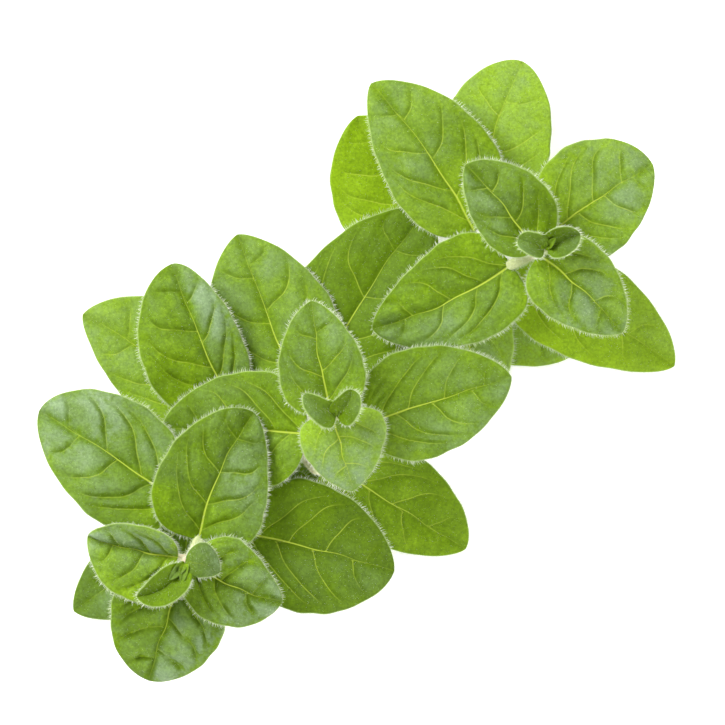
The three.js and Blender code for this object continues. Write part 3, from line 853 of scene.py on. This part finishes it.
def leaf_material():
    """Marjoram leaf, upper face and underside."""
    material, tree, surface = new_material("marjoram_leaf")
    place, under = own_place(tree), stored(tree, "under")
    rib, side, hollow = vein_lines(tree)
    colour, uneven = leaf_tone(tree, place)
    bloom, crease = leaf_bloom(tree, place, hollow, uneven)
    net, grain = fine_net(tree, place)

    light = scaled(tree, net, -0.08, scaled(tree, grain, 1.1, 0.45))
    # The grey laid over the green is partly the hairs' bloom and partly painted sheen.
    colour = shaded(tree, blend_colours(tree, bloom, colour, BLOOM_GREY), light)
    side = product(tree, side, ramp(tree, noise(tree, place, 4.0), 0.3, 0.6, 0.35, 1.0))
    paleness = scaled(tree, stored(tree, "quilt"), -0.3, 0.6)
    colour = layered(tree, colour, [
        # Painted shade in the grooves by the veins, in deep green; then the pale veins, edge and
        # underside.
        (product(tree, crease, 0.8), DEEP_GREEN),
        (product(tree, side, paleness), VEIN_PALE),
        (product(tree, rib, 0.85), VEIN_PALE),
        (ramp(tree, stored(tree, "inset"), 0.05, 0.2, 0.7, 0.0), EDGE_PALE),
        (product(tree, under, 0.85), UNDERSIDE)])

    height = scaled(tree, grain, 0.5, product(tree, net, -0.35))
    veins = product(tree, calc(tree, "MAXIMUM", rib, side), scaled(tree, under, 2.0, -0.6))
    height = calc(tree, "ADD", height, veins)
    plug(tree, surface, lit_through(tree, colour, LEAF_LIGHT_THROUGH, {
        "Normal": bumped(tree, height, BUMP_DEPTH, 0.7),
        "Roughness": ramp(tree, bloom, 0.0, 0.8, 0.55, 0.36),
        "Specular IOR Level": 0.12, "Sheen Weight": 0.02, "Sheen Roughness": 0.5}))
    print(material.name, "nodes:", len(tree.nodes))
    return material


leaf_skin = leaf_material()

# %% Leaves into the scene
def add_piece(name, mesh, slot):
    """Puts a finished mesh in the scene as a piece of the plant."""
    piece = bpy.data.objects.new(name, mesh)
    scene.collection.objects.link(piece)
    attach(piece, "root")
    print("piece", name, "faces", len(mesh.polygons))
    return piece


for name, (mesh, _) in blades.items():
    mesh.materials.append(leaf_skin)
    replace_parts(add_piece("leaves_" + name, mesh, "leaf"), "sprig_" + name)

# %% [markdown]
# ## Helpers for Geometry Nodes
#
# What repeats on the plant, or follows a path, is made by Geometry Nodes: the stems and
# stalks run along lines, and hairs stand on margins and surfaces. Each tree is built in the
# script with named inputs. Its result becomes a plain mesh, and the modifier goes.

# %% Building a tree
def new_tree(name, inputs):
    """A geometry tree with named inputs, as (tree, its inputs' sockets, its output socket)."""
    tree = bpy.data.node_groups.new(name, "GeometryNodeTree")
    face = tree.interface
    face.new_socket("Geometry", in_out="INPUT", socket_type="NodeSocketGeometry")
    face.new_socket("Geometry", in_out="OUTPUT", socket_type="NodeSocketGeometry")
    for label, kind in inputs.items():
        face.new_socket(label, in_out="INPUT", socket_type="NodeSocket" + kind)
    given = new_node(tree, "NodeGroupInput").outputs
    return tree, given, new_node(tree, "NodeGroupOutput").inputs[0]


def named(tree, name, kind="FLOAT"):
    """A value stored on the geometry."""
    read = wired(tree, "GeometryNodeInputNamedAttribute", {"Name": name}, data_type=kind)
    return read.outputs["Attribute"]


def here(tree):
    """The X, Y and Z of a point of the geometry."""
    place = new_node(tree, "GeometryNodeInputPosition").outputs[0]
    return wired(tree, "ShaderNodeSeparateXYZ", {"Vector": place}).outputs


def above_table(tree, geometry):
    """Lifts whatever would dip under the table to its top."""
    x, y, z = here(tree)
    lifted = wired(tree, "ShaderNodeCombineXYZ", {"X": x, "Y": y, "Z": calc(tree, "MAXIMUM", z, 0.0)})
    return wired(tree, "GeometryNodeSetPosition",
                 {"Geometry": geometry, "Position": lifted.outputs[0]}).outputs[0]


def end_tree(tree, geometry, material, output):
    """Every tree ends like this: real geometry, with its material."""
    real = wired(tree, "GeometryNodeRealizeInstances", {"Geometry": geometry}).outputs[0]
    dress = wired(tree, "GeometryNodeSetMaterial",
                  {"Geometry": above_table(tree, real), "Material": material})
    plug(tree, output, dress.outputs[0])
    print("tree", tree.name, "nodes:", len(tree.nodes))


# %% Using a tree
def grow(name, guide, tree, values):
    """Runs a tree on a guide mesh and returns the plain mesh that it makes."""
    holder = bpy.data.objects.new("guide_" + name, guide)
    scene.collection.objects.link(holder)
    modifier = holder.modifiers.new("grow", "NODES")
    modifier.node_group = tree
    for item in tree.interface.items_tree:
        if item.in_out == "INPUT" and item.name in values:
            modifier[item.identifier] = values[item.name]
    ready = holder.evaluated_get(bpy.context.evaluated_depsgraph_get())
    mesh = bpy.data.meshes.new_from_object(ready)
    mesh.name = name
    holder.modifiers.clear()
    bpy.data.objects.remove(holder)
    return mesh

# %% [markdown]
# ## Stems and stalks
#
# The stem of a mint plant is square, with a slight swelling where each pair of leaves stands.
# A stalk is round and thins towards its blade. Both are lines with a half width at every
# point: Curve to Mesh draws a profile along them, and the caps close their ends.
#
# The middle stem sways a little between its leaves, so that it shows beside one of them.

# %% Lines of the stems
STEM_BASE_WIDTH = 2.2
STEM_TIP_WIDTH = 1.2
STEM_SWAY = {"middle": {3: (-0.5, -0.8, 0.5), 4: (-1.2, -1.1, 1.6)}}  # moves of two nodes
STEPS_PER_SPAN = 12
LOWEST_NODE = 2
SWELLING = 0.08
SWELLING_REACH = 0.12


def smooth_curve(points, u):
    """A centripetal spline through points, at u from 0 to 1."""
    p = np.asarray(points, float)
    p = np.vstack([2 * p[0] - p[1], p, 2 * p[-1] - p[-2]])
    spans = len(points) - 1
    at = min(int(u * spans), spans - 1)
    w = u * spans - at
    a, b, c, d = p[at:at + 4]
    before, middle, after = (np.linalg.norm(v) ** 0.5 for v in (b - a, c - b, d - c))
    leave = ((b - a) / before - (c - a) / (before + middle) + (c - b) / middle) * middle
    arrive = ((c - b) / middle - (d - b) / (middle + after) + (d - c) / after) * middle
    return (b + leave * w + (-3 * b + 3 * c - 2 * leave - arrive) * w ** 2
            + (2 * b - 2 * c + leave + arrive) * w ** 3)


def stem_line(stem, lies):
    """Points and half widths of a stem, in millimetres."""
    spans = len(stem) - 1
    places, halves = [], []
    for i in range(spans * STEPS_PER_SPAN + 1):
        u = i / (spans * STEPS_PER_SPAN)
        place = smooth_curve(stem, u)
        node = round(u * spans)
        near = math.exp(-((u * spans - node) / SWELLING_REACH) ** 2) if node >= LOWEST_NODE else 0
        half = (STEM_BASE_WIDTH + (STEM_TIP_WIDTH - STEM_BASE_WIDTH) * u) / 2 + SWELLING * near
        if lies and i <= STEPS_PER_SPAN:
            place[2] = half
        places.append(place)
        halves.append(half)
    return np.array(places), np.array(halves)

# %% Lines of the stalks
STALK_ROOT_RADIUS = 0.62
STALK_END_RADIUS = 0.2
STALK_STEPS = 12
STALK_INTO_BLADE = 4.0
LONGEST_STALK = 0.6  # share of the leaf


def stalk_line(row, root):
    """Points and radii of a stalk, from inside the stem to under the midrib."""
    line = midrib(row, root)
    end = min(LONGEST_STALK, (row["stalk"] + STALK_INTO_BLADE) / length_of(line))
    places, along = points_along(line, np.linspace(0, end, STALK_STEPS))
    up = unit(np.cross(along, line[3]))
    radii = np.linspace(STALK_ROOT_RADIUS, STALK_END_RADIUS, STALK_STEPS)
    return places - (0.3 + 0.7 * radii[:, None]) * up, radii


def line_mesh(name, lines):
    """Separate lines with a half width at each point, as a mesh of edges in metres."""
    mesh = bpy.data.meshes.new(name)
    edges, start = [], 0
    for places, _ in lines:
        edges += [(start + i, start + i + 1) for i in range(len(places) - 1)]
        start += len(places)
    places = np.concatenate([p for p, _ in lines]) * MM
    mesh.from_pydata(places.tolist(), edges, [])
    set_values(mesh, {"half": np.concatenate([r for _, r in lines]) * MM})
    return mesh

# %% The tree that draws a profile along lines
def profile_tree():
    """Draws a square with rounded corners, or a circle, along lines of varying half width."""
    tree, given, output = new_tree("along_lines", {
        "Corner radius": "Float", "Corner steps": "Int", "Material": "Material"})
    path = wired(tree, "GeometryNodeMeshToCurve", {"Mesh": given["Geometry"]}).outputs[0]
    square = wired(tree, "GeometryNodeCurvePrimitiveQuadrilateral", {"Width": 2.0, "Height": 2.0})
    corners = {"Curve": square.outputs[0], "Count": given["Corner steps"],
               "Radius": given["Corner radius"]}
    profile = wired(tree, "GeometryNodeFilletCurve", corners, mode="POLY").outputs[0]
    drawn = wired(tree, "GeometryNodeCurveToMesh", {
        "Curve": path, "Profile Curve": profile, "Scale": named(tree, "half"),
        "Fill Caps": True})
    end_tree(tree, drawn.outputs[0], given["Material"], output)
    return tree

# %% [markdown]
# The stems are paler than the leaves, green with a pinkish tan here and there. Fine noise
# breaks up their colour, their gloss and, as a bump, their surface.

# %% Stem material
STEM_GREEN = srgb(206, 214, 156)
STEM_TAN = srgb(224, 204, 178)


def stem_material():
    """Pale green stem with a tan flush."""
    material, tree, surface = new_material("marjoram_stem")
    place = own_place(tree)
    flush = ramp(tree, noise(tree, place, 6.0), 0.45, 0.65)
    fine = noise(tree, place, 0.3, 3.0, 0.6)
    colour = blend_colours(tree, flush, STEM_GREEN, STEM_TAN)
    plug(tree, surface, principled(tree, {
        "Base Color": shaded(tree, colour, scaled(tree, fine, 0.6, 0.7)),
        "Normal": bumped(tree, fine, 0.05), "Roughness": ramp(tree, fine, 0.3, 0.7, 0.5, 0.7),
        "Specular IOR Level": 0.25}))
    return material


# %% Stems and stalks into the scene
stem_skin = stem_material()
along_lines = profile_tree()
SQUARE = {"Corner radius": 0.5, "Corner steps": 3, "Material": stem_skin}
ROUND = {"Corner radius": 0.98, "Corner steps": 2, "Material": stem_skin}

woody = []
for name, (stem, rows) in SPRIGS.items():
    sway = STEM_SWAY.get(name, {})
    swayed = [np.add(point, sway.get(i, 0)) for i, point in enumerate(stem)]
    stem_lines = [stem_line(swayed, lies=name != "middle")]
    stalk_lines = [stalk_line(row, root_of(stem, row)) for row in rows]
    for part, lines, profile in (("stem", stem_lines, SQUARE), ("stalk", stalk_lines, ROUND)):
        piece_name = {"stem": "stem_", "stalk": "stalks_"}[part] + name
        mesh = grow(piece_name, line_mesh(part + "_line", lines), along_lines, profile)
        mesh.shade_smooth()
        add_piece(piece_name, mesh, "stem")
        woody.append((f"{part}_hairs_{name}", mesh))

# %% [markdown]
# ## Hairs
#
# Marjoram is felted. Its edges carry a dense white fringe, about 0.7 mm long, and shorter
# hairs stand on the faces and stems. A hair is a slender cone with three sides, because
# there are tens of thousands of them, and the longer ones bend.
#
# The fringe tree walks along the margins and stands hairs on them, pointing outwards. The
# felt tree scatters hairs over a surface, more where the stored number is higher.

# %% A hair inside a tree
HAIR_INPUTS = {"Hair length": "Float", "Hair thickness": "Float", "Hair steps": "Int",
               "Lean": "Float", "Seed": "Int", "Material": "Material"}
HAIR_BEND = 0.3
LEAST_SCALE = 0.4
MOST_SCALE = 1.2


def hair_shape(tree, given):
    """A bent three-sided cone that stands on its base."""
    length = given["Hair length"]
    cone = wired(tree, "GeometryNodeMeshCone", {
        "Vertices": 3, "Side Segments": given["Hair steps"], "Radius Top": 0.0,
        "Radius Bottom": product(tree, given["Hair thickness"], 0.5), "Depth": length},
        fill_type="NGON")
    share = calc(tree, "DIVIDE", here(tree)[2], length)
    bend = product(tree, share, share, product(tree, length, HAIR_BEND))
    sideways = wired(tree, "ShaderNodeCombineXYZ", {"X": bend}).outputs[0]
    return wired(tree, "GeometryNodeSetPosition",
                 {"Geometry": cone.outputs["Mesh"], "Offset": sideways}).outputs[0]


def random_number(tree, low, high, seed, shift, kind="FLOAT"):
    """A random value that depends on the tree's seed."""
    made = new_node(tree, "FunctionNodeRandomValue", data_type=kind)
    lowest, highest = [socket for socket in made.inputs if socket.enabled][:2]
    plug(tree, lowest, low)
    plug(tree, highest, high)
    plug(tree, made.inputs["Seed"], calc(tree, "ADD", seed, shift))
    return next(socket for socket in made.outputs if socket.enabled)


def stand_hairs(tree, points, up, given):
    """Puts hairs on points, along a direction, each with its own lean, turn and length."""
    seed = given["Seed"]
    jitter = random_number(tree, (-1, -1, -1), (1, 1, 1), seed, 1, "FLOAT_VECTOR")
    swing = wired(tree, "ShaderNodeVectorMath", {"Scale": given["Lean"]}, operation="SCALE")
    plug(tree, swing.inputs[0], jitter)
    aim = new_node(tree, "ShaderNodeVectorMath", operation="ADD")
    plug(tree, aim.inputs[0], up)
    plug(tree, aim.inputs[1], swing.outputs[0])
    turned = wired(tree, "FunctionNodeAlignRotationToVector", {"Vector": aim.outputs[0]}, axis="Z")
    return wired(tree, "GeometryNodeInstanceOnPoints", {
        "Points": points, "Instance": hair_shape(tree, given), "Rotation": turned.outputs[0],
        "Scale": random_number(tree, LEAST_SCALE, MOST_SCALE, seed, 2)}).outputs[0]

# %% The fringe tree
def fringe_tree():
    """Hairs that point outwards along lines."""
    tree, given, output = new_tree("margin_fringe", {"Spacing": "Float", **HAIR_INPUTS})
    path = wired(tree, "GeometryNodeMeshToCurve", {"Mesh": given["Geometry"]}).outputs[0]
    spots = wired(tree, "GeometryNodeCurveToPoints", {"Curve": path, "Length": given["Spacing"]},
                  mode="LENGTH")
    outward = named(tree, "outward", "FLOAT_VECTOR")
    hairs = stand_hairs(tree, spots.outputs["Points"], outward, given)
    end_tree(tree, hairs, given["Material"], output)
    return tree

# %% The felt tree
def felt_tree():
    """Hairs scattered over a surface, by the number stored as felt."""
    tree, given, output = new_tree("surface_felt", {"Hairs per area": "Float", **HAIR_INPUTS})
    density = product(tree, given["Hairs per area"], named(tree, "felt"))
    spots = wired(tree, "GeometryNodeDistributePointsOnFaces",
                  {"Mesh": given["Geometry"], "Density": density, "Seed": given["Seed"]},
                  distribute_method="RANDOM")
    hairs = stand_hairs(tree, spots.outputs["Points"], spots.outputs["Normal"], given)
    end_tree(tree, hairs, given["Material"], output)
    return tree

# %% Hair material
HAIR_GREENISH = srgb(238, 246, 214)
HAIR_WHITE = srgb(252, 254, 246)
HAIR_LIGHT_THROUGH = 0.4


def hair_material():
    """Clear white plant hair, softly lit through."""
    material, tree, surface = new_material("white_plant_hair")
    tint = ramp(tree, noise(tree, own_place(tree), 2.0), 0.3, 0.7)
    colour = blend_colours(tree, tint, HAIR_GREENISH, HAIR_WHITE)
    plug(tree, surface, lit_through(tree, colour, HAIR_LIGHT_THROUGH, {
        "Roughness": 0.5, "Specular IOR Level": 0.3}))
    return material

# %% Fringe pieces
FRINGE = {"Spacing": 0.16 * MM, "Hair length": 0.78 * MM, "Hair thickness": 0.08 * MM,
          "Hair steps": 2, "Lean": 0.42}
FRINGE_RISE = 0.35


def margin_mesh(margins):
    """The margins as a mesh of edges that holds the outward directions."""
    mesh = bpy.data.meshes.new("margins")
    edges, start = [], 0
    for places, _, _, haired in margins:
        count = len(places)
        edges += [(start + i, start + (i + 1) % count) for i in range(count) if haired[i]]
        start += count
    mesh.from_pydata(np.concatenate([m[0] for m in margins]).tolist(), edges, [])
    set_values(mesh, {"outward": np.concatenate([m[1] + FRINGE_RISE * m[2] for m in margins])})
    return mesh


plant_hair = hair_material()
fringe = fringe_tree()
for seed, (name, (_, margins)) in enumerate(blades.items(), 10):
    sizes = {**FRINGE, "Seed": seed, "Material": plant_hair}
    hairs = grow("fringe_" + name, margin_mesh(margins), fringe, sizes)
    add_piece(hairs.name, hairs, "leaf")

# %% Felt pieces
FELT = {"Hairs per area": 6.0 / MM ** 2, "Hair length": 0.3 * MM,
        "Hair thickness": 0.018 * MM, "Hair steps": 1, "Lean": 0.8}

felt = felt_tree()
for seed, (name, (mesh, _)) in enumerate(blades.items(), 20):
    sizes = {**FELT, "Seed": seed, "Material": plant_hair}
    hairs = grow("felt_" + name, mesh.copy(), felt, sizes)
    add_piece(hairs.name, hairs, "leaf")

# %% Hairs on stems and stalks
STEM_FELT = {"Hairs per area": 7.0 / MM ** 2, "Hair length": 0.6 * MM,
             "Hair thickness": 0.05 * MM, "Hair steps": 2, "Lean": 0.6}
BARER_BELOW, DENSER_ABOVE = 8, 20
LOW_SHARE, HIGH_SHARE = 0.6, 2.2

for i, (name, mesh) in enumerate(woody):
    guide = mesh.copy()
    high = np.array([v.co.z for v in guide.vertices]) / MM
    share = np.interp(high, [BARER_BELOW, DENSER_ABOVE], [LOW_SHARE, HIGH_SHARE])
    set_values(guide, {"felt": share})
    sizes = {**STEM_FELT, "Seed": 30 + i // 2, "Material": plant_hair}
    hairs = grow(name, guide, felt, sizes)
    add_piece(hairs.name, hairs, "stem")

# Hairs may stand a fraction of a millimetre proud. Both boxes are written down for
# comparison.

# %% Write the sizes
dressed_box = [list(corner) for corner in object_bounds()]
print("dressed box", dressed_box)
